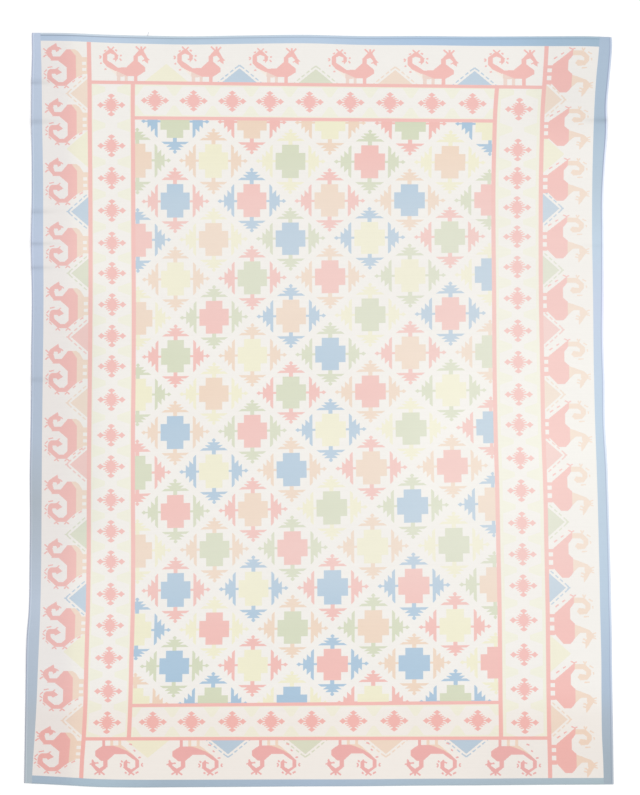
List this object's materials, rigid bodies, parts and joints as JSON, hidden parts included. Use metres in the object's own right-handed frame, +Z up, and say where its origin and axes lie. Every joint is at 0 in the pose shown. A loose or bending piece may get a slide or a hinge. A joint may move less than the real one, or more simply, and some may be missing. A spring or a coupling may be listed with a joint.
{
  "type": "dhurrie rug",
  "caption": "Large flat-woven cotton rug lying flat, with rolled end hems and corded selvages.",
  "frame": {"origin": "middle of the rug's footprint, on its underside", "axes": "+Z up out of the face of the rug, +Y along the warps towards the head end, +X across to the right-hand selvage"},
  "size_m": [2.82, 3.6099, 0.01],
  "materials": {
    "cotton": "matt flat-woven cotton in faded pink, blue, green, peach and yellow on white"
  },
  "bodies": {
    "root": {"cloth": "cotton"}
  },
  "joints": []
}
